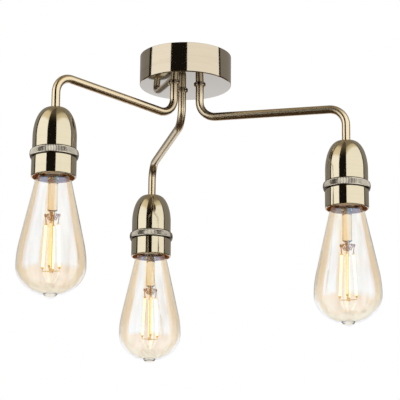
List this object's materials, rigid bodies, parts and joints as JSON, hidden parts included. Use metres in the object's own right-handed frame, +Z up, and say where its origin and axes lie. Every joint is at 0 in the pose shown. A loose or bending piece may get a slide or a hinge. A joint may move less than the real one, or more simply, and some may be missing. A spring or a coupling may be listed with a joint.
{
  "type": "semi-flush ceiling light",
  "caption": "Semi-flush ceiling light: a round canopy, bent tube arms and bullet-shaped lampholders hanging mouth down, each with a pear-shaped filament bulb that unscrews.",
  "frame": {"origin": "on the ceiling plane at the centre of the canopy and of the bracket's two fixing slots", "axes": "+Z up into the ceiling, -Y towards the side that the picture shows, +X to the right of it; the slots lie along X"},
  "size_m": [0.3373, 0.3304, 0.2794],
  "materials": {
    "canopy_brass": "antique brass, brushed round the wall, polished underneath",
    "arm_brass": "antique brass, polished and lacquered",
    "holder_brass": "antique brass, brushed round and lacquered",
    "ring_brass": "antique brass, fine knurling, pale",
    "polished_brass": "antique brass, polished",
    "screw_brass": "antique brass, turned",
    "bracket_steel": "zinc plated pressed steel",
    "plated_steel": "zinc plated, turned",
    "block_plastic": "natural moulded nylon",
    "wire_sleeve": "brown and blue insulation",
    "core_plastic": "dark brown moulded insulator",
    "contact_brass": "bare stamped brass",
    "bulb_glass": "clear glass with a faint amber tint",
    "stem_glass": "clear glass stem with an amber cast",
    "cap_brass": "bright drawn brass screw cap",
    "insulator_glass": "dark fused glass",
    "solder": "tinned contact",
    "filament": "phosphor coated, glowing warm white",
    "support_wire": "bare drawn wire"
  },
  "bodies": {
    "root": {"canopy": "canopy_brass", "ceiling_bracket": "bracket_steel", "canopy_screws": "screw_brass", "earth_screw": "plated_steel", "terminal_block": "block_plastic", "clamp_screws": "plated_steel", "arm_collars": "polished_brass", "arm_washers": "plated_steel", "arm_nuts": "plated_steel", "holder_nuts": "plated_steel", "left_arm": "arm_brass", "left_wires": "wire_sleeve", "left_holder_dome": "holder_brass", "left_holder_skirt": "holder_brass", "left_holder_core": "core_plastic", "left_holder_shell": "contact_brass", "left_holder_contact": "contact_brass", "rear_arm": "arm_brass", "rear_wires": "wire_sleeve", "rear_holder_dome": "holder_brass", "rear_holder_skirt": "holder_brass", "rear_holder_core": "core_plastic", "rear_holder_shell": "contact_brass", "rear_holder_contact": "contact_brass", "right_arm": "arm_brass", "right_wires": "wire_sleeve", "right_holder_dome": "holder_brass", "right_holder_skirt": "holder_brass", "right_holder_core": "core_plastic", "right_holder_shell": "contact_brass", "right_holder_contact": "contact_brass"},
    "left_ring": {"left_holder_ring": "ring_brass"},
    "left_bulb_travel": {"left_bulb_base_contact": "solder", "left_bulb_insulator": "insulator_glass"},
    "left_bulb": {"left_bulb_glass": "bulb_glass", "left_bulb_cap": "cap_brass", "left_bulb_stem": "stem_glass", "left_bulb_filaments": "filament", "left_bulb_support_wires": "support_wire"},
    "rear_ring": {"rear_holder_ring": "ring_brass"},
    "rear_bulb_travel": {"rear_bulb_base_contact": "solder", "rear_bulb_insulator": "insulator_glass"},
    "rear_bulb": {"rear_bulb_glass": "bulb_glass", "rear_bulb_cap": "cap_brass", "rear_bulb_stem": "stem_glass", "rear_bulb_filaments": "filament", "rear_bulb_support_wires": "support_wire"},
    "right_ring": {"right_holder_ring": "ring_brass"},
    "right_bulb_travel": {"right_bulb_base_contact": "solder", "right_bulb_insulator": "insulator_glass"},
    "right_bulb": {"right_bulb_glass": "bulb_glass", "right_bulb_cap": "cap_brass", "right_bulb_stem": "stem_glass", "right_bulb_filaments": "filament", "right_bulb_support_wires": "support_wire"}
  },
  "joints": [
    {"name": "left_ring_drop", "type": "slide", "parent": "root", "child": "left_ring", "axis": [0, 0, -1], "range_m": [0, 0.016]},
    {"name": "left_bulb_drop", "type": "slide", "parent": "root", "child": "left_bulb_travel", "axis": [0, 0, -1], "range_m": [0, 0.0255]},
    {"name": "left_bulb_turn", "type": "hinge", "parent": "left_bulb_travel", "child": "left_bulb", "pos_m": [-0.11954, -0.10859, -0.1895], "axis": [0, 0, -1], "range_deg": [0, 2520]},
    {"name": "rear_ring_drop", "type": "slide", "parent": "root", "child": "rear_ring", "axis": [0, 0, -1], "range_m": [0, 0.016]},
    {"name": "rear_bulb_drop", "type": "slide", "parent": "root", "child": "rear_bulb_travel", "axis": [0, 0, -1], "range_m": [0, 0.0255]},
    {"name": "rear_bulb_turn", "type": "hinge", "parent": "rear_bulb_travel", "child": "rear_bulb", "pos_m": [-0.03427, 0.15782, -0.2001], "axis": [0, 0, -1], "range_deg": [0, 2520]},
    {"name": "right_ring_drop", "type": "slide", "parent": "root", "child": "right_ring", "axis": [0, 0, -1], "range_m": [0, 0.016]},
    {"name": "right_bulb_drop", "type": "slide", "parent": "root", "child": "right_bulb_travel", "axis": [0, 0, -1], "range_m": [0, 0.0255]},
    {"name": "right_bulb_turn", "type": "hinge", "parent": "right_bulb_travel", "child": "right_bulb", "pos_m": [0.15381, -0.04924, -0.2005], "axis": [0, 0, -1], "range_deg": [0, 2520]}
  ],
  "couplings": [
    {"joint": "left_bulb_drop", "follows": "left_bulb_turn", "m_per_rad": 0.00057757},
    {"joint": "rear_bulb_drop", "follows": "rear_bulb_turn", "m_per_rad": 0.00057757},
    {"joint": "right_bulb_drop", "follows": "right_bulb_turn", "m_per_rad": 0.00057757}
  ]
}
